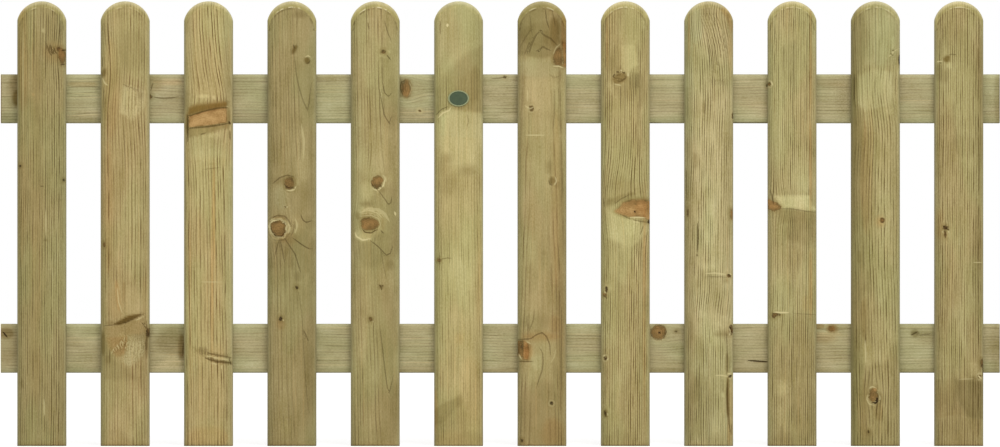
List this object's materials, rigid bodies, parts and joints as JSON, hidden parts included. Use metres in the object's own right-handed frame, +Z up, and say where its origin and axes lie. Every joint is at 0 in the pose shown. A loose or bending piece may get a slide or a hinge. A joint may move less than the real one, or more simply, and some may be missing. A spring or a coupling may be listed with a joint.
{
  "type": "picket fence panel",
  "caption": "Picket fence panel: round-topped wooden pickets screwed from behind to flat rails, to close a garden boundary between posts.",
  "frame": {"origin": "on the ground line under the panel, midway along its length and midway through its timber depth", "axes": "+X along the rails, to the right as seen from the pickets' side; +Y from the pickets to the rails; +Z up"},
  "size_m": [1.8, 0.0507, 0.8],
  "materials": {
    "picket_wood": "planed, green-tinted pressure-treated softwood",
    "rail_wood": "planed, paler grey-green pressure-treated softwood",
    "screw_steel": "yellow zinc plate",
    "badge_plastic": "dark green moulding with a pale worn rim"
  },
  "bodies": {
    "root": {"picket_01": "picket_wood", "picket_02": "picket_wood", "picket_03": "picket_wood", "picket_04": "picket_wood", "picket_05": "picket_wood", "picket_06": "picket_wood", "picket_07": "picket_wood", "picket_08": "picket_wood", "picket_09": "picket_wood", "picket_10": "picket_wood", "picket_11": "picket_wood", "picket_12": "picket_wood", "upper_rail": "rail_wood", "lower_rail": "rail_wood", "picket_01_screws": "screw_steel", "picket_02_screws": "screw_steel", "picket_03_screws": "screw_steel", "picket_04_screws": "screw_steel", "picket_05_screws": "screw_steel", "picket_06_screws": "screw_steel", "picket_07_screws": "screw_steel", "picket_08_screws": "screw_steel", "picket_09_screws": "screw_steel", "picket_10_screws": "screw_steel", "picket_11_screws": "screw_steel", "picket_12_screws": "screw_steel", "oval_badge": "badge_plastic"}
  },
  "joints": []
}
